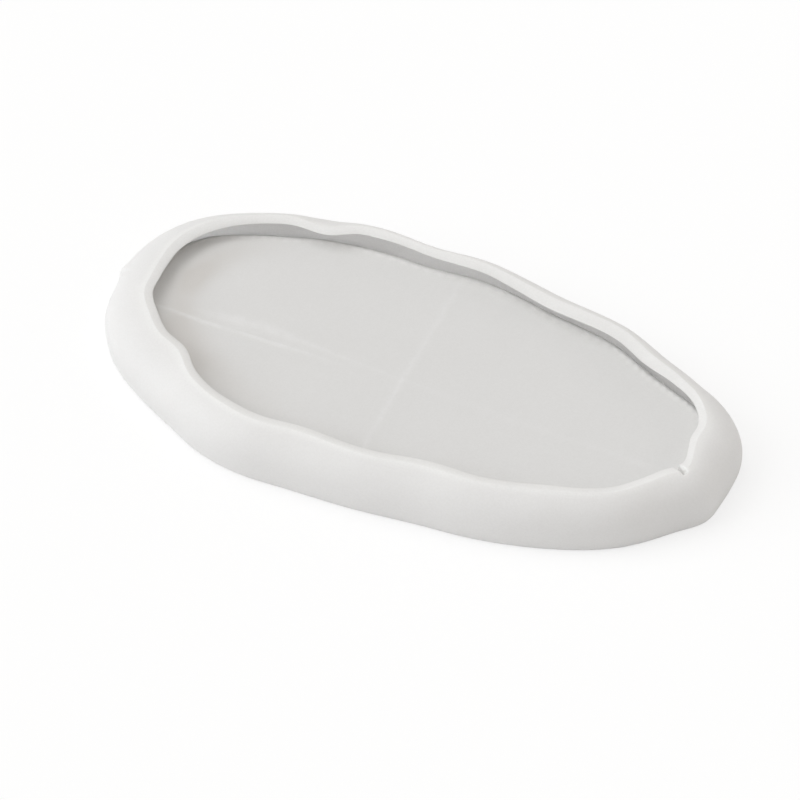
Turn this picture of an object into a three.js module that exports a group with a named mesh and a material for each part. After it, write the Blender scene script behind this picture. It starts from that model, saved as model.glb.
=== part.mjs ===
// A silicone casting mould for an oval tray with a rippled edge.
//
// The mould is one flexible shell. A raised plateau forms the inside of the tray, the groove round
// it forms the tray's side and lip, and the wall leans in over the groove, so a cast is freed by
// peeling the wall back. The shell is hollow under the plateau and stands on a flat foot ring.
//
// Millimetres, +Z up, +X along the tray. The origin is the middle of the footprint.

import * as THREE from "three";

// The mean oval, which both outlines below follow at a varying distance.
const HALF_LENGTH = 135;
const HALF_WIDTH = 66;

// Heights above the surface that the mould stands on.
const RIM_HEIGHT = 26;
const PLATEAU_HEIGHT = 18.2;
const GROOVE_FLOOR = 3;

// Sizes across the section.
const WALL = 4; // thickness of the wall
const RIM_WIDTH = 4; // of the flat top of the wall
const RIM_FALL = 0.9; // how far that top slopes down towards the opening
const GROOVE_WIDTH = 9.1; // thickness of the cast tray's lip
const SHOULDER = 3.5; // radius of the plateau's edge
const SHEET = 3; // thickness of the shell under the plateau
const HOLLOW_ROUND = 8; // width of the rounded edge of the hollow's ceiling
const FOOT_RADIUS = 2.5; // of the outer edge at the bottom

// Where the rim's top and the groove are broader: fully so between two angles, fading out over some
// degrees at each end, and by how much.
const BROAD_RIM = { from: 50, to: 150, fade: 40, extra: 3 };
const BROAD_GROOVE = { from: 120, to: 165, fade: 25, extra: 3.8 };

// How far the rim's opening and the foot's outline stand outside the mean oval, by the angle round
// it in degrees, anticlockwise from +X.
const OUTLINES = [
  { angle: 6, rim: 0.5, foot: 21.5 },
  { angle: 18, rim: -1.5, foot: 18 },
  { angle: 29, rim: -5.5, foot: 12 },
  { angle: 40, rim: -9, foot: 9.5 },
  { angle: 51, rim: -7, foot: 11 },
  { angle: 69, rim: -9.5, foot: 10 },
  { angle: 77, rim: -7, foot: 12.5 },
  { angle: 86, rim: -3, foot: 15 },
  { angle: 98, rim: -2, foot: 15 },
  { angle: 108, rim: 3, foot: 20.5 },
  { angle: 115, rim: 5, foot: 24.5 },
  { angle: 122, rim: 2, foot: 27.5 },
  { angle: 131, rim: 9, foot: 28.5 },
  { angle: 142, rim: 11.5, foot: 32 },
  { angle: 153, rim: 10.5, foot: 35 },
  { angle: 163, rim: 6, foot: 33.5 },
  { angle: 173, rim: 0.5, foot: 29.5 },
  { angle: 182, rim: -1.5, foot: 24.5 },
  { angle: 191, rim: -1, foot: 24 },
  { angle: 203, rim: -2.5, foot: 22.5 },
  { angle: 213, rim: -2.5, foot: 21 },
  { angle: 222, rim: -4, foot: 20 },
  { angle: 231, rim: 2, foot: 20.5 },
  { angle: 240, rim: 4.5, foot: 22.5 },
  { angle: 249, rim: 4.5, foot: 22 },
  { angle: 260, rim: 0, foot: 18 },
  { angle: 272, rim: 0, foot: 16 },
  { angle: 284, rim: -2, foot: 15 },
  { angle: 294, rim: 1, foot: 17 },
  { angle: 308, rim: 3, foot: 19 },
  { angle: 322, rim: 5.5, foot: 20.5 },
  { angle: 338, rim: 3, foot: 20 },
  { angle: 346, rim: 4.8, foot: 22.5 },
  { angle: 352, rim: 1.2, foot: 21 },
  { angle: 358, rim: -0.8, foot: 20.5 },
];

// How finely the shell is cut into facets.
const STATIONS = 128; // sections round the oval
const SHOULDER_STEPS = 4;
const GROOVE_STEPS = 3;
const WALL_STEPS = 6;
const FOOT_STEPS = 3;
const HOLLOW_STEPS = 5;

// Handle lengths of the Bezier curves, as shares of the way to the corner that they round.
const ROUND = 0.5523; // nearest to a quarter of an ellipse
const WALL_TOP_DROP = 0.15; // how far the wall's top handle tips down, as a share of its fall

// The outlines as smooth functions of the angle. Two knots repeat past each end to close them.
function smoothOutlines() {
  const fullTurn = 360;
  const shifted = (knot, turns) => ({ ...knot, angle: knot.angle + turns * fullTurn });
  const knots = [
    ...OUTLINES.slice(-2).map((knot) => shifted(knot, -1)),
    ...OUTLINES,
    ...OUTLINES.slice(0, 2).map((knot) => shifted(knot, 1)),
  ];
  const angles = knots.map((knot) => knot.angle);
  const offsets = knots.flatMap((knot) => [knot.rim, knot.foot]);
  const curve = new THREE.CubicInterpolant(angles, offsets, 2);
  return (angle) => {
    const [rim, foot] = curve.evaluate(angle);
    return { rim, foot };
  };
}

// How much broader the rim's top or the groove is at an angle in degrees.
function extraWidth(angle, { from, to, fade, extra }) {
  const { smoothstep } = THREE.MathUtils;
  return extra * (smoothstep(angle, from - fade, from) - smoothstep(angle, to, to + fade));
}

// A quarter of an ellipse between two points, rounding the given corner of their box.
function quarterEllipse(start, corner, end) {
  return new THREE.CubicBezierCurve(
    start,
    start.clone().lerp(corner, ROUND),
    end.clone().lerp(corner, ROUND),
    end,
  );
}

// The outside of the wall, from the rim's outer edge over and down to upright at the foot's outline.
function wallOutside(rimEdge, foot, uprightHeight) {
  const fall = RIM_HEIGHT - uprightHeight;
  const start = new THREE.Vector2(rimEdge, RIM_HEIGHT);
  const end = new THREE.Vector2(foot, uprightHeight);
  const curve = quarterEllipse(start, new THREE.Vector2(foot, RIM_HEIGHT), end);
  curve.v1.y -= WALL_TOP_DROP * fall;
  return curve;
}

// The inside of the wall: the same curve, one wall thickness further in.
function wallInside(outside) {
  return outside.getPoints(WALL_STEPS).map((point, i) => {
    const along = outside.getTangent(i / WALL_STEPS);
    return new THREE.Vector2(point.x + WALL * along.y, point.y - WALL * along.x);
  });
}

// The shell cut across at one place, from the plateau over the wall and back under to the hollow's
// ceiling. x is the distance outside the mean oval and y the height.
function section({ rim, rimWidth, grooveWidth, foot }) {
  const at = (x, y) => new THREE.Vector2(x, y);
  const grooveOuter = foot - WALL;
  const grooveMiddle = grooveOuter - grooveWidth / 2;
  const grooveInner = grooveOuter - grooveWidth;
  const grooveSide = GROOVE_FLOOR + GROOVE_WIDTH / 2;
  const plateauEdge = grooveInner - SHOULDER;
  const hollowEdge = grooveInner - SHEET;
  const ceiling = PLATEAU_HEIGHT - SHEET;

  const shoulder = quarterEllipse(
    at(plateauEdge, PLATEAU_HEIGHT),
    at(grooveInner, PLATEAU_HEIGHT),
    at(grooveInner, PLATEAU_HEIGHT - SHOULDER),
  );
  const grooveIn = quarterEllipse(
    at(grooveInner, grooveSide),
    at(grooveInner, GROOVE_FLOOR),
    at(grooveMiddle, GROOVE_FLOOR),
  );
  const grooveOut = quarterEllipse(
    at(grooveMiddle, GROOVE_FLOOR),
    at(grooveOuter, GROOVE_FLOOR),
    at(grooveOuter, grooveSide),
  );
  const outside = wallOutside(rim + rimWidth, foot, grooveSide);
  const footEdge = quarterEllipse(at(foot, FOOT_RADIUS), at(foot, 0), at(foot - FOOT_RADIUS, 0));
  const hollow = quarterEllipse(
    at(hollowEdge, 0),
    at(hollowEdge, ceiling),
    at(hollowEdge - HOLLOW_ROUND, ceiling),
  );
  return [
    ...shoulder.getPoints(SHOULDER_STEPS),
    ...grooveIn.getPoints(GROOVE_STEPS),
    ...grooveOut.getPoints(GROOVE_STEPS).slice(1, -1),
    ...wallInside(outside).reverse(),
    at(rim, RIM_HEIGHT - RIM_FALL),
    ...outside.getPoints(WALL_STEPS),
    ...footEdge.getPoints(FOOT_STEPS),
    ...hollow.getPoints(HOLLOW_STEPS),
  ];
}

// The sections set round the mean oval, each across the oval's own edge there.
function sectionsRoundOval() {
  const outlinesAt = smoothOutlines();
  return Array.from({ length: STATIONS }, (_, station) => {
    const degrees = (station / STATIONS) * 360;
    const turn = THREE.MathUtils.degToRad(degrees);
    const cos = Math.cos(turn);
    const sin = Math.sin(turn);
    const outwards = new THREE.Vector2(HALF_WIDTH * cos, HALF_LENGTH * sin).normalize();
    const rimWidth = RIM_WIDTH + extraWidth(degrees, BROAD_RIM);
    const grooveWidth = GROOVE_WIDTH + extraWidth(degrees, BROAD_GROOVE);
    return section({ ...outlinesAt(degrees), rimWidth, grooveWidth }).map(
      ({ x, y }) =>
        new THREE.Vector3(HALF_LENGTH * cos + outwards.x * x, HALF_WIDTH * sin + outwards.y * x, y),
    );
  });
}

// The closed surface through the sections. One point in the middle of the plateau and one in the
// middle of the hollow's ceiling close it there.
function shellGeometry() {
  const sections = sectionsRoundOval();
  const length = sections[0].length;
  const plateauMiddle = STATIONS * length;
  const ceilingMiddle = plateauMiddle + 1;
  const points = [
    ...sections.flat(),
    new THREE.Vector3(0, 0, PLATEAU_HEIGHT),
    new THREE.Vector3(0, 0, PLATEAU_HEIGHT - SHEET),
  ];
  const faces = [];
  for (let station = 0; station < STATIONS; station++) {
    const here = station * length;
    const next = ((station + 1) % STATIONS) * length;
    faces.push(plateauMiddle, here, next);
    for (let i = 0; i < length - 1; i++) {
      faces.push(here + i, here + i + 1, next + i + 1);
      faces.push(here + i, next + i + 1, next + i);
    }
    faces.push(ceilingMiddle, next + length - 1, here + length - 1);
  }
  return new THREE.BufferGeometry().setFromPoints(points).setIndex(faces);
}

// The mean oval isn't quite in the middle of the footprint, so the shell is centred by its box.
function centredOnFootprint(geometry) {
  geometry.computeBoundingBox();
  const middle = geometry.boundingBox.getCenter(new THREE.Vector3());
  return geometry.translate(-middle.x, -middle.y, 0);
}

const silicone = new THREE.MeshStandardMaterial({ color: 0xe6e5e3, roughness: 0.45, metalness: 0 });
const mouldShell = new THREE.Mesh(centredOnFootprint(shellGeometry()), silicone);
mouldShell.name = "mould_shell";

const mould = new THREE.Group();
mould.add(mouldShell);
export default mould;
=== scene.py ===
"""A soft silicone mould for casting a ripple-edged oval tray, on a pale floor in soft studio light."""

import math
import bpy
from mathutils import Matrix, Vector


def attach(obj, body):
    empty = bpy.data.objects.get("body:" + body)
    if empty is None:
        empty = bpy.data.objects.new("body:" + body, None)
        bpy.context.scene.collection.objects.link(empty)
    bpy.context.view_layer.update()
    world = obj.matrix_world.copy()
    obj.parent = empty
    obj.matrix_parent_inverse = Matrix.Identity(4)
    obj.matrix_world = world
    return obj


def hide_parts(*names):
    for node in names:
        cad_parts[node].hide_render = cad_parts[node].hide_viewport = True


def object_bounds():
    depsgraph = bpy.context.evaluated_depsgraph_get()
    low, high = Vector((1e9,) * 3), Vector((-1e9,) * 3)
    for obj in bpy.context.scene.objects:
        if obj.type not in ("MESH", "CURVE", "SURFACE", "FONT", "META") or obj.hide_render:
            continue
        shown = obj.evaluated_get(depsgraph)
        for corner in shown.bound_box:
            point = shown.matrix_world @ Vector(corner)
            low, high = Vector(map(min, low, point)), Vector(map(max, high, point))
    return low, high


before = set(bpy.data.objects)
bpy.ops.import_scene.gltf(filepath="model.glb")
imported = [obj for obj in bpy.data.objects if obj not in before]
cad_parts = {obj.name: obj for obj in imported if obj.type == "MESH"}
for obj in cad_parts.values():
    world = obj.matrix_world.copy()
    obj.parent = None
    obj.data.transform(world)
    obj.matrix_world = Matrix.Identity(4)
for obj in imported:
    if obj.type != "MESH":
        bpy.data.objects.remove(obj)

from types import SimpleNamespace

import bmesh
import bpy
import numpy as np
from mathutils import Vector, noise

MM = 0.001
CAD_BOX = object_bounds()
SIZE = CAD_BOX[1] - CAD_BOX[0]
MIDDLE = (CAD_BOX[0] + CAD_BOX[1]) / 2

# The camera: its direction from the mould in degrees, its distance and the point that it aims at.
CAMERA_AZIMUTH = 23.6
CAMERA_ELEVATION = 45
CAMERA_DISTANCE = 2.51 * SIZE.x
CAMERA_AIM = MIDDLE + Vector((2.9, -16.1, -5.9)) * MM
LENS = 77.4  # mm, on a sensor 36 mm wide

# How the CAD shell's facets become a smooth surface.
WELD = 0.001 * MM  # points this close are one point, and points this low stand on the floor
END_STEPS = 20  # stations along each short side of the grids that fill the plateau and the hollow
SMOOTHING = 2  # levels of subdivision
RIM_INNER_RADIUS = 0.35 * MM
RIM_OUTER_RADIUS = 0.5 * MM
FOOT_RADIUS = 0.6 * MM

# The surface is cut up more finely where there is a mark and round the nick.
FINE_STEPS = 2  # extra cuts per edge
FAINTEST_MARK = 0.02 * MM
FINE_ROUND_NICK = 5 * MM

# The soft wall isn't quite even. Each pair is how far it strays and how big the lumps are.
UNEVENNESS = [(0.45 * MM, 32 * MM), (0.1 * MM, 10 * MM)]
EVEN_FOOT = 6 * MM  # it grows up to this height, from nothing at the foot
EVEN_SHEET = 0.9  # and the flat sheet has less of it by this share

# The soft sheet of the plateau sinks inside its edge, a little at once and a little over a longer
# way. Each pair is how far it sinks and over what distance.
SAGS = [(0.4 * MM, 2.5 * MM), (0.3 * MM, 12 * MM)]
EDGE_LIGHT_REACH = 7 * MM  # how far in from its edge the sheet has painted light

# Marks that folding and handling have left, each a path in mm from the frame's origin. A path's
# points hold x, y, the mark's half width and how far it stands out of the surface.
FOLD_ALONG = [
    (-128, -14.5, 1.2, 0.15),
    (-100, -14.6, 1.1, 0.32),
    (-62, -14.5, 1, 0.3),
    (-25, -15, 1.2, 0.04),
]
SOFT_FOLD_BESIDE = [
    (-112, -9, 2, 0),
    (-84, -7, 3.5, 0.26),
    (-64, -7, 3, 0.26),
    (-42, -9, 1.2, 0.16),
    (3, -13, 1.3, 0.05),
]
FAINT_FOLD_TO_NICK = [
    (3, -13, 1.5, 0.05),
    (60, -17, 1.8, 0.045),
    (126, -19, 1.8, 0.06),
]
FOLD_ACROSS = [
    (2, 60, 1.5, 0.08),
    (3, 20, 1.5, 0.12),
    (3, -13, 1.4, 0.14),
    (4.4, -62, 1.4, 0.1),
]
SHEET_MARKS = [FOLD_ALONG, SOFT_FOLD_BESIDE, FAINT_FOLD_TO_NICK, FOLD_ACROSS]
WHITE_FOLD = 0.22 * MM  # a mark on the sheet this high whitens it fully
DENT_RIDGE = [(-157, 6.5, 4.5, 1.3), (-153, 8, 4, 0)]
DENT_CREASE = [(-160, 5, 0.8, -0.9), (-153, 2.2, 0.8, -0.5), (-148, 0, 0.8, 0)]
OUTER_WALL_MARKS = [DENT_RIDGE, DENT_CREASE]
PINCH_RIDGE = [(-87, 61, 1.2, 0), (-82, 60.5, 1, 0.2), (-77, 61, 1, 0.15), (-74, 62, 1, 0)]
PINCH_CREASE = [(-79, 63, 0.8, 0), (-75.5, 64.5, 0.7, -0.25), (-72, 66, 0.8, 0)]
RIM_MARKS = [PINCH_RIDGE, PINCH_CREASE]

# The low swell round the sheet's left end, as a path of the same kind.
SWELL = [
    (-88, 58, 6, 0),
    (-112, 44, 8, 0.9),
    (-121, 34, 9, 1.3),
    (-126, 16, 10, 1.5),
    (-123, -2, 10, 1.3),
    (-118, -22, 9, 1.2),
    (-98, -43, 8, 0.9),
    (-60, -58, 6, 0),
]

# The same kind of path, for a warm painted shade on the sheet round its left end, where the left wall's
# shadow falls. Here the last number is its strength.
PAINTED_SHADE_PATH = [
    (-84, 56, 6, 0),
    (-107, 40, 8, 0.4),
    (-115, 28, 8, 0.7),
    (-119, 12, 7, 1.4),
    (-118, -4, 8, 0.7),
    (-108, -22, 9, 0.9),
    (-92, -36, 9, 0.8),
    (-62, -50, 7, 0.3),
    (-30, -60, 5, 0),
]

# Where the edges of the rim's top stand further out than the CAD's, and by how much.
INNER_EDGE_SHIFTS = [
    [(-104, 52, 14, 0.4), (-88, 62, 14, 1.4), (-25, 69, 14, 1.4), (35, 64, 14, 0.3)],
    [(128, 20, 8, 0), (137, 4, 10, -0.7), (136, -14, 8, -0.6)],
]
OUTER_EDGE_SHIFTS = [
    [(128, 24, 8, 0), (140, 4, 10, -1.5), (141, -14, 8, -1.5)],
]

# The nick where the rim has torn at a fold. Each pair is where the cut has ended and where it is
# whole: from the nick's middle, outwards from it, and in height.
NICK = Vector((138.0, -22.8)) * MM
NICK_OUTWARDS = Vector((0.91, -0.41)).normalized()
NICK_DEPTH = 4.5 * MM
NICK_HALF_WIDTH = 1.6 * MM
NICK_FLOOR = 0.6  # the share of the width that is cut to the full depth
NICK_REACH = (9 * MM, 6 * MM)
NICK_OUTER_END = (4 * MM, 1 * MM)
NICK_HEIGHTS = (18 * MM, 24 * MM)

# The torn edge beside it: how far it strays, how big its lumps are and, as above, its reach.
TORN_BY = 0.35 * MM
TORN_LUMPS = 1.3 * MM
TORN_REACH = (6 * MM, 2 * MM)

# The silicone's colours, among them painted light and painted shade. Where there are two, it is mottled
# between them.
BODY = [(0.87, 0.862, 0.852, 1), (0.9, 0.893, 0.885, 1)]
THIN_SHEET = [(0.76, 0.755, 0.742, 1), (0.785, 0.78, 0.772, 1)]
# A warm painted shade, standing in for the left wall's shadow on the sheet.
WARM_PAINTED_SHADE = (0.6, 0.56, 0.52, 1)
# Painted light in the groove and on the wall's inner side, for light that comes through the thin wall.
PAINTED_LIGHT_IN_GROOVE = (0.97, 0.96, 0.945, 1)
# Painted light on the rim's up-facing top, and a painted highlight along the sheet's edge where the
# wall's overhang shades it.
PAINTED_LIGHT_AT_EDGES = (0.93, 0.925, 0.91, 1)
# Painted shade inside the nick.
PAINTED_SHADE_IN_NICK = (0.8, 0.79, 0.775, 1)
WHITENED = (0.95, 0.945, 0.94, 1)
SPECKS = (0.7, 0.69, 0.67, 1)

# The floor, and what the camera sees of it instead.
FLOOR_RADIUS = 30 * SIZE.x
FLOOR_GAP = 0.05 * MM  # how far below the mould's foot it lies
FLOOR_MATT = [(0.84, 0.84, 0.84, 1), (0.86, 0.86, 0.86, 1)]
FLOOR_SEEN = (0.35, 0.35, 0.35, 1)
FLOOR_GLOW = 0.68

# The light from all round, and each large soft light: its name, where it is (azimuth and elevation)
# and how wide it looks from the mould, all in degrees, and its strength and colour.
SURROUNDINGS = (1.0, 0.982, 0.96, 1)
SURROUNDINGS_STRENGTH = 0.55
LIGHTS = [
    ("key", -60, 30, 45, 1.17, (0.94, 0.97, 1.0)),
    ("fill", -105, 60, 40, 0.5, (1, 1, 1)),
    ("edge", 120, 18, 40, 0.25, (1, 0.95, 0.9)),
]
WHITE = (1, 1, 1, 1)


# ------------------------------------------------------------------ the mould's shape


def rings_of(node):
    """The CAD shell's points as rings, from the plateau's edge over the wall to the hollow's ceiling.

    Every ring holds the same stations, anticlockwise. The shell's triangles join a station to the
    same one and to the one after it in the next ring, so the next ring's point at a station is the
    one that both this station's point and the point before it are joined to. Each point holds
    x, y, z and its ring's number.
    """
    mesh = bmesh.new()
    mesh.from_mesh(node.data)
    bmesh.ops.remove_doubles(mesh, verts=mesh.verts, dist=WELD)
    joined = {v: {edge.other_vert(v) for edge in v.link_edges} for v in mesh.verts}
    # The middles of the plateau and of the ceiling are the points with the most others joined on.
    middles = sorted(mesh.verts, key=lambda v: len(joined[v]))[-2:]
    top = max(middles, key=lambda v: v.co.z)
    ring = sorted(joined[top], key=lambda v: math.atan2(v.co.y - top.co.y, v.co.x - top.co.x))
    used = {top}
    rings = []
    while len(set(ring)) > 1:
        rings.append([(*v.co, len(rings)) for v in ring])
        used.update(ring)
        before = ring[-1:] + ring[:-1]
        ring = [((joined[a] & joined[b]) - used).pop() for a, b in zip(ring, before)]
    mesh.free()
    return np.array(rings)


def key_numbers(rings):
    """The numbers of the rings that the rest of the work refers to."""
    heights = rings[:, :, 2].mean(axis=1)
    rim_outer = int(heights.argmax())
    return SimpleNamespace(
        rim_inner=rim_outer - 1,
        rim_outer=rim_outer,
        foot_inner=int(np.flatnonzero(heights < WELD)[-1]),
        ceiling=len(rings) - 1,
    )


def shifted_edges(rings, numbers):
    """The rings with both edges of the rim's top moved across it by their shifts."""
    across = rings[numbers.rim_outer] - rings[numbers.rim_inner]
    across /= np.linalg.norm(across[:, :3], axis=1, keepdims=True)
    across[:, 3] = 0
    edges = ((numbers.rim_inner, INNER_EDGE_SHIFTS), (numbers.rim_outer, OUTER_EDGE_SHIFTS))
    for number, paths in edges:
        rings[number] += across * sum(mark(rings[number], path) for path in paths)[:, None]
    return rings


def tightened(rings):
    """The rings moved out by as much as subdivision will pull them in along each ring."""
    smoothed = (np.roll(rings, 1, axis=1) + 4 * rings + np.roll(rings, -1, axis=1)) / 6
    return 2 * rings - smoothed


def held(rings, number, radius):
    """The rings with one more close to either side of a ring, so that its edge stays this tight."""
    index = int(np.flatnonzero(rings[:, 0, 3] == number)[0])

    def beside(other):
        step = rings[other] - rings[index]
        return rings[index] + step * radius / np.linalg.norm(step[:, :3], axis=1, keepdims=True)

    beside_it = [beside(index - 1), rings[index], beside(index + 1)]
    return np.concatenate([rings[:index], beside_it, rings[index + 1 :]])


def quads(ids):
    """The faces of a grid of points."""
    corners = [ids[:-1, :-1], ids[:-1, 1:], ids[1:, 1:], ids[1:, :-1]]
    return np.stack(corners, axis=-1).reshape(-1, 4)


def filled(points, ring):
    """Fills a ring, given as its points' ids, with a grid whose sides are four stretches of it.

    Each point inside is blended from the four sides. Gives all the points and the grid's faces.
    """
    half, opposite, last = END_STEPS // 2, len(ring) // 2, len(ring)
    left = ring[np.arange(half, -half - 1, -1)]
    front = ring[np.arange(half, opposite - half + 1)]
    right = ring[np.arange(opposite - half, opposite + half + 1)]
    back = ring[np.arange(last - half, opposite + half - 1, -1)]
    ids = np.full((len(left), len(front)), -1)
    ids[0], ids[-1], ids[:, 0], ids[:, -1] = front, back, left, right

    across = np.linspace(0, 1, len(left))[:, None, None]
    along = np.linspace(0, 1, len(front))[None, :, None]
    between_long = (1 - across) * points[front] + across * points[back]
    between_short = (1 - along) * points[left][:, None] + along * points[right][:, None]
    corners = (1 - along) * between_long[:, :1] + along * between_long[:, -1:]
    grid = between_long + between_short - corners

    inside = ids < 0
    ids[inside] = len(points) + np.arange(inside.sum())
    return np.vstack([points, grid[inside]]), quads(ids)


def smooth_shell(rings):
    """A mesh of the whole shell, subdivided, with each point's ring number as an attribute."""
    count = rings.shape[0] * rings.shape[1]
    ids = np.arange(count).reshape(rings.shape[:2])
    faces = [quads(np.column_stack([ids, ids[:, :1]]))]
    points = rings.reshape(-1, 4)
    for ring in (ids[0], ids[-1]):
        points, more = filled(points, ring)
        faces.append(more)

    mesh = bpy.data.meshes.new("cage")
    mesh.from_pydata(points[:, :3].tolist(), [], np.concatenate(faces).tolist())
    mesh.attributes.new("ring", "FLOAT", "POINT").data.foreach_set("value", points[:, 3])
    shape = bmesh.new()
    shape.from_mesh(mesh)
    bmesh.ops.recalc_face_normals(shape, faces=shape.faces)
    shape.to_mesh(mesh)
    shape.free()

    cage = bpy.data.objects.new("cage", mesh)
    bpy.context.scene.collection.objects.link(cage)
    cage.modifiers.new("smooth", "SUBSURF").levels = SMOOTHING
    depsgraph = bpy.context.evaluated_depsgraph_get()
    smooth = bpy.data.meshes.new_from_object(cage.evaluated_get(depsgraph))
    bpy.data.objects.remove(cage)
    return smooth


def arrays_of(mesh):
    """A mesh's points, their normals and their ring numbers."""
    count = len(mesh.vertices)
    points, normals, ring = np.empty(count * 3), np.empty(count * 3), np.empty(count)
    mesh.vertices.foreach_get("co", points)
    mesh.vertex_normals.foreach_get("vector", normals)
    mesh.attributes["ring"].data.foreach_get("value", ring)
    return points.reshape(-1, 3), normals.reshape(-1, 3), ring


def mark(points, path):
    """How far one mark moves each point along its normal, in metres."""
    x, y = points[:, 0] / MM, points[:, 1] / MM
    moved = np.zeros(len(points))
    for start, end in zip(path, path[1:]):
        step_x, step_y = end[0] - start[0], end[1] - start[1]
        along = ((x - start[0]) * step_x + (y - start[1]) * step_y) / (step_x**2 + step_y**2)
        along = np.clip(along, 0, 1)
        away = np.hypot(x - start[0] - along * step_x, y - start[1] - along * step_y)
        half_width = start[2] + along * (end[2] - start[2])
        height = start[3] + along * (end[3] - start[3])
        here = height * np.exp(-((away / half_width) ** 2))
        moved = np.where(abs(here) > abs(moved), here, moved)
    return moved * MM


def distance_to(edge, points):
    """How far each point is, seen from above, from the nearest point of an edge."""
    apart = np.hypot(points[:, 0, None] - edge[:, 0], points[:, 1, None] - edge[:, 1])
    return apart.min(axis=1)


def ramp(values, start, end):
    """0 before start, 1 after end and smooth between them. End may be less than start."""
    share = np.clip((values - start) / (end - start), 0, 1)
    return share * share * (3 - 2 * share)


def band(ring, first, last):
    """1 on the rings from first to last, and falling to 0 over the next ring on each side."""
    return ramp(ring, first - 1, first) * ramp(ring, last + 1, last)


def noise_at(points, size):
    """Smooth noise from about -1 to 1 whose lumps are about size across."""
    return np.array([noise.noise(Vector(p) / size) for p in points])


def refined(mesh, wanted):
    """The mesh with its edges cut up where wanted, a list of true or false for its points, is true."""
    shape = bmesh.new()
    shape.from_mesh(mesh)
    edges = [e for e in shape.edges if wanted[e.verts[0].index] and wanted[e.verts[1].index]]
    bmesh.ops.subdivide_edges(shape, edges=edges, cuts=FINE_STEPS, use_grid_fill=True)
    shape.to_mesh(mesh)
    shape.free()
    return mesh


def marks_on(points, ring, numbers):
    """How far the marks on the sheet, on the outer wall and on the rim move each point.

    Those on the sheet run down over its edge, and show in the hollow's ceiling too.
    """
    sheet = np.maximum(band(ring, -1, 2), band(ring, numbers.ceiling, numbers.ceiling + 1))
    wall = band(ring, numbers.rim_outer + 1.5, numbers.foot_inner - 4)
    rim = band(ring, numbers.rim_inner - 0.5, numbers.rim_outer + 2)
    return (
        sheet * sum(mark(points, path) for path in SHEET_MARKS),
        wall * sum(mark(points, path) for path in OUTER_WALL_MARKS),
        rim * sum(mark(points, path) for path in RIM_MARKS),
    )


def from_nick(points):
    """Each point's distance from the nick, seen from above: in all, to its side and outwards."""
    x, y = points[:, 0] - NICK.x, points[:, 1] - NICK.y
    aside = x * -NICK_OUTWARDS.y + y * NICK_OUTWARDS.x
    outwards = x * NICK_OUTWARDS.x + y * NICK_OUTWARDS.y
    return np.hypot(x, y), aside, outwards


def cut_nick(points, ring, numbers):
    """Cuts the nick into the rim and tears its edge. Gives how deep each point is cut, from 0 to 1."""
    away, aside, outwards = from_nick(points)
    cut = ramp(away, *NICK_REACH) * ramp(outwards, *NICK_OUTER_END)
    cut *= ramp(abs(aside), NICK_HALF_WIDTH, NICK_FLOOR * NICK_HALF_WIDTH)
    cut *= ramp(points[:, 2], *NICK_HEIGHTS)
    points[:, 2] -= NICK_DEPTH * cut
    torn = ramp(away, *TORN_REACH) * band(ring, numbers.rim_inner - 1, numbers.rim_outer)
    ragged = TORN_BY * noise_at(points, TORN_LUMPS) * torn
    points[:, 0] += ragged * NICK_OUTWARDS.x
    points[:, 1] += ragged * NICK_OUTWARDS.y
    return cut


def needs_detail(mesh, numbers):
    """Whether each point is in a mark or near the nick."""
    points, _, ring = arrays_of(mesh)
    marked = sum(abs(moved) for moved in marks_on(points, ring, numbers)) > FAINTEST_MARK
    away, _, _ = from_nick(points)
    on_rim = band(ring, numbers.rim_inner - 2, numbers.rim_outer + 2) > 0
    return marked | ((away < FINE_ROUND_NICK) & on_rim)


def add_relief(mesh, sheet_edge, numbers):
    """Moves the mesh's points by everything that the CAD leaves out, and stores the shades with them."""
    points, normals, ring = arrays_of(mesh)
    sheet_marks, wall_marks, rim_marks = marks_on(points, ring, numbers)
    on_sheet = np.maximum(ramp(ring, 1, 0), ramp(ring, numbers.ceiling - 1, numbers.ceiling))
    uneven = sum(height * noise_at(points, size) for height, size in UNEVENNESS)
    uneven *= ramp(points[:, 2], 0, EVEN_FOOT) * (1 - EVEN_SHEET * on_sheet)
    points += normals * (sheet_marks + wall_marks + rim_marks + uneven)[:, None]

    inwards = distance_to(sheet_edge, points)
    sunk = sum(depth * ramp(inwards, 0, width) for depth, width in SAGS)
    points[:, 2] += on_sheet * (mark(points, SWELL) - sunk)
    cut = cut_nick(points, ring, numbers)
    mesh.vertices.foreach_set("co", points.ravel())

    rim_top = band(ring, numbers.rim_inner, numbers.rim_outer)
    lit_sheet_edge = on_sheet * ramp(inwards, EDGE_LIGHT_REACH, 0)
    shades = {
        "thin": ramp(ring, 1, 0),
        "folded": np.clip(abs(sheet_marks) / WHITE_FOLD, 0, 1),
        # Painted shade round the sheet's left end, where the left wall's shadow falls.
        "painted_shade_left_end": on_sheet * mark(points, PAINTED_SHADE_PATH) / MM,
        # The groove and the wall's inner side: painted light in the colour, and deeper subsurface
        # scattering.
        "inside": band(ring, 1, numbers.rim_inner - 1),
        # Painted light: the rim's top, and a highlight along the sheet's edge.
        "edge": rim_top + np.maximum(band(ring, 0.5, 3), lit_sheet_edge),
        # This also sets the painted shade inside the nick.
        "cut": cut,
    }
    for name, shade in shades.items():
        mesh.attributes.new(name, "FLOAT", "POINT").data.foreach_set("value", shade)


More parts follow.
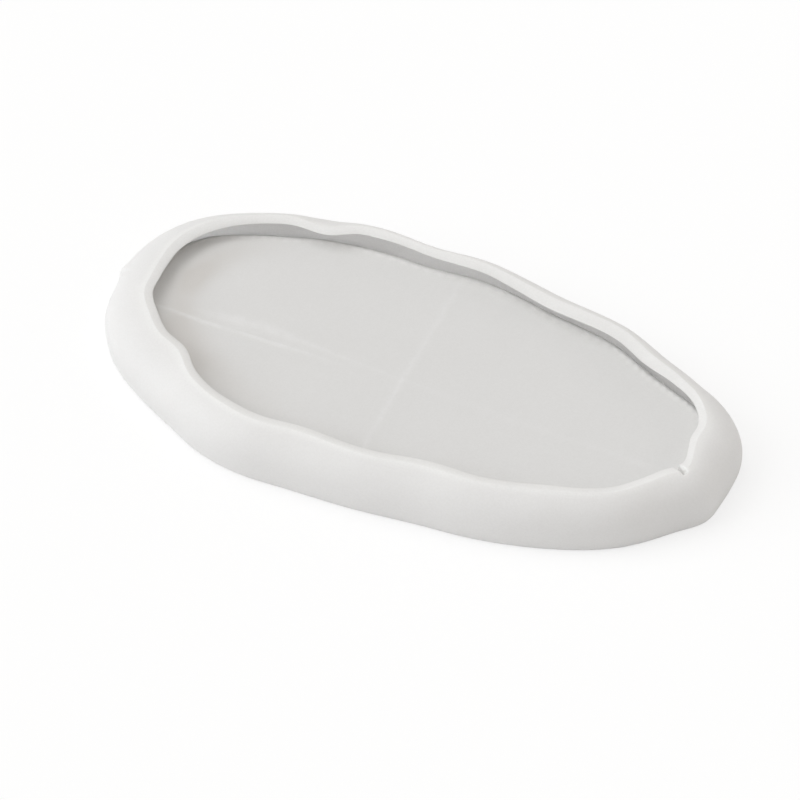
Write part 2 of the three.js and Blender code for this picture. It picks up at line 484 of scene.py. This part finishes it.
def build_mould(node):
    """The mould as one smooth piece, with its marks."""
    rings = rings_of(node)
    numbers = key_numbers(rings)
    rings = tightened(shifted_edges(rings, numbers))
    rings = held(rings, numbers.rim_inner, RIM_INNER_RADIUS)
    rings = held(rings, numbers.rim_outer, RIM_OUTER_RADIUS)
    rings = held(rings, numbers.foot_inner, FOOT_RADIUS)
    mesh = smooth_shell(rings)
    mesh = refined(mesh, needs_detail(mesh, numbers))
    add_relief(mesh, rings[0], numbers)
    mesh.shade_smooth()
    mesh.update()

    mould = bpy.data.objects.new("silicone_mould", mesh)
    bpy.context.scene.collection.objects.link(mould)
    mould.data.materials.append(silicone())
    return mould


# ------------------------------------------------------------------ materials


class Nodes:
    """A material's node tree, with short ways to add to it."""

    MIX_COLOURS = (6, 7)  # the inputs where a Mix node takes two colours
    MIX_RESULT = 2  # and the output where it gives the one between them

    def __init__(self, name):
        self.material = bpy.data.materials.new(name)
        self.material.use_nodes = True
        self.tree = self.material.node_tree
        self.surface = self.tree.nodes["Principled BSDF"]

    def add(self, kind, inputs, **settings):
        """Adds a node, with each input either a value or another node's output."""
        node = self.tree.nodes.new("ShaderNode" + kind)
        for name, value in settings.items():
            setattr(node, name, value)
        self.set(node, inputs)
        return node

    def set(self, node, inputs):
        """Sets a node's inputs, each given by its name or number."""
        for name, value in inputs.items():
            if isinstance(value, bpy.types.NodeSocket):
                self.tree.links.new(value, node.inputs[name])
            else:
                node.inputs[name].default_value = value

    def noise(self, where, size, detail=2.0):
        """Noise from 0 to 1 whose lumps are about size metres across."""
        inputs = {"Vector": where, "Scale": 1 / size, "Detail": detail}
        return self.add("TexNoise", inputs).outputs["Fac"]

    def mapped(self, value, low, high, start=0.0, end=1.0):
        """value, which runs from start to end, changed to run from low to high."""
        inputs = {"Value": value, "From Min": start, "From Max": end, "To Min": low, "To Max": high}
        return self.add("MapRange", inputs).outputs["Result"]

    def mixed(self, share, first, second):
        """A colour that goes from first to second as share goes from 0 to 1."""
        node = self.add("Mix", {"Factor": share}, data_type="RGBA")
        self.set(node, dict(zip(self.MIX_COLOURS, (first, second))))
        return node.outputs[self.MIX_RESULT]

    def attribute(self, name):
        """A shade that is stored on the mesh."""
        return self.add("Attribute", {}, attribute_name=name).outputs["Fac"]

    def product(self, first, second):
        return self.add("Math", {0: first, 1: second}, operation="MULTIPLY").outputs[0]

    def total(self, first, second):
        return self.add("Math", {0: first, 1: second}, operation="ADD").outputs[0]


def silicone():
    """Satin, milky silicone: greyer in the thin sheet, paler in folds, with painted light in the groove
    and at edges and painted shade in the nick and round the sheet's left end.
    """
    nodes = Nodes("satin_silicone")
    where = nodes.add("TexCoord", {}).outputs["Object"]

    body = nodes.mixed(nodes.noise(where, 60 * MM), *BODY)
    sheet = nodes.mixed(nodes.noise(where, 45 * MM), *THIN_SHEET)
    # Painted shade round the sheet's left end, for the left wall's shadow.
    sheet = nodes.mixed(nodes.attribute("painted_shade_left_end"), sheet, WARM_PAINTED_SHADE)
    colour = nodes.mixed(nodes.attribute("thin"), body, sheet)
    # Painted light in the groove, on the rim's top and along the sheet's edge, and painted shade in the
    # nick.
    for name, shade in (("inside", PAINTED_LIGHT_IN_GROOVE), ("edge", PAINTED_LIGHT_AT_EDGES), ("cut", PAINTED_SHADE_IN_NICK)):
        colour = nodes.mixed(nodes.attribute(name), colour, shade)
    patchy = nodes.mapped(nodes.noise(where, 6 * MM), low=0.2, high=0.6, start=0.3, end=0.7)
    colour = nodes.mixed(nodes.product(nodes.attribute("folded"), patchy), colour, WHITENED)
    speckled = nodes.mapped(nodes.noise(where, 0.9 * MM), low=0, high=0.12, start=0.35, end=0.65)
    colour = nodes.mixed(speckled, colour, SPECKS)

    grain = nodes.product(nodes.noise(where, 0.7 * MM), 0.012)
    skin = nodes.product(nodes.noise(where, 5 * MM), 0.06)
    bump = {"Height": nodes.total(grain, skin), "Distance": MM, "Strength": 0.6}
    worn = nodes.noise(where, 12 * MM)
    inside = nodes.attribute("inside")
    nodes.set(
        nodes.surface,
        {
            "Base Color": colour,
            "Roughness": nodes.mapped(worn, low=0.42, high=0.56, start=0.3, end=0.7),
            "IOR": 1.41,
            "Specular IOR Level": 0.4,
            "Subsurface Weight": nodes.mapped(inside, low=0.6, high=1),
            "Subsurface Radius": (1.0, 1.0, 1.0),
            "Subsurface Scale": nodes.mapped(inside, low=7 * MM, high=30 * MM),
            "Normal": nodes.add("Bump", bump).outputs["Normal"],
        },
    )
    return nodes.material


def floor_finish():
    """A white floor. The camera sees it darker but glowing, which keeps the shadows on it faint."""
    nodes = Nodes("white_floor")
    where = nodes.add("TexCoord", {}).outputs["Object"]
    seen = nodes.add("LightPath", {}).outputs["Is Camera Ray"]
    matt = nodes.mixed(nodes.noise(where, 0.2), *FLOOR_MATT)
    nodes.set(
        nodes.surface,
        {
            "Base Color": nodes.mixed(seen, matt, FLOOR_SEEN),
            "Roughness": 0.9,
            "Specular IOR Level": 0.1,
            "Emission Color": WHITE,
            "Emission Strength": nodes.product(seen, FLOOR_GLOW),
        },
    )
    return nodes.material


# ------------------------------------------------------------------ the studio


def build_floor():
    """A round floor that reaches well past every view, just under the mould's foot."""
    shape = bmesh.new()
    bmesh.ops.create_circle(shape, cap_ends=True, segments=96, radius=FLOOR_RADIUS)
    bmesh.ops.translate(shape, verts=shape.verts, vec=(0, 0, CAD_BOX[0].z - FLOOR_GAP))
    mesh = bpy.data.meshes.new("floor")
    shape.to_mesh(mesh)
    shape.free()
    mesh.materials.append(floor_finish())
    floor = bpy.data.objects.new("floor", mesh)
    bpy.context.scene.collection.objects.link(floor)


def direction_to(azimuth, elevation):
    """The way from the mould to a light or camera. The angles are in degrees, from the front."""
    turn, rise = math.radians(azimuth), math.radians(elevation)
    return Vector(
        (math.sin(turn) * math.cos(rise), -math.cos(turn) * math.cos(rise), math.sin(rise))
    )


def aimed(name, data, target, direction, distance):
    """Adds a light or camera that looks at a target from some distance in a direction."""
    lamp_or_camera = bpy.data.objects.new(name, data)
    lamp_or_camera.location = target + direction * distance
    lamp_or_camera.rotation_euler = direction.to_track_quat("Z", "Y").to_euler()
    bpy.context.scene.collection.objects.link(lamp_or_camera)
    return lamp_or_camera


def light_studio():
    """White surroundings, two large soft lights on the left and a weak low one on the right."""
    world = bpy.data.worlds.new("studio")
    world.use_nodes = True
    tree = world.node_tree
    light = tree.nodes["Background"]
    light.inputs["Color"].default_value = SURROUNDINGS
    light.inputs["Strength"].default_value = SURROUNDINGS_STRENGTH
    white = tree.nodes.new("ShaderNodeBackground")
    white.inputs["Color"].default_value = WHITE
    both = tree.nodes.new("ShaderNodeMixShader")
    seen = tree.nodes.new("ShaderNodeLightPath").outputs["Is Camera Ray"]
    for output, socket in zip((seen, light.outputs[0], white.outputs[0]), both.inputs):
        tree.links.new(output, socket)
    tree.links.new(both.outputs[0], tree.nodes["World Output"].inputs["Surface"])
    bpy.context.scene.world = world

    for name, azimuth, elevation, spread, strength, colour in LIGHTS:
        data = bpy.data.lights.new(name, "SUN")
        data.angle = math.radians(spread)
        data.energy = strength
        data.color = colour
        aimed(name, data, MIDDLE, direction_to(azimuth, elevation), distance=1)
    view = bpy.context.scene.view_settings
    view.view_transform = "Standard"
    view.look = "None"


def add_camera():
    """The camera, at the angle that the mould is usually shown from."""
    data = bpy.data.cameras.new("camera")
    data.lens = LENS
    direction = direction_to(CAMERA_AZIMUTH, CAMERA_ELEVATION)
    bpy.context.scene.camera = aimed("camera", data, CAMERA_AIM, direction, CAMERA_DISTANCE)


mould = build_mould(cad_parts["mould_shell"])
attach(mould, "root")
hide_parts("mould_shell")
build_floor()
light_studio()
add_camera()
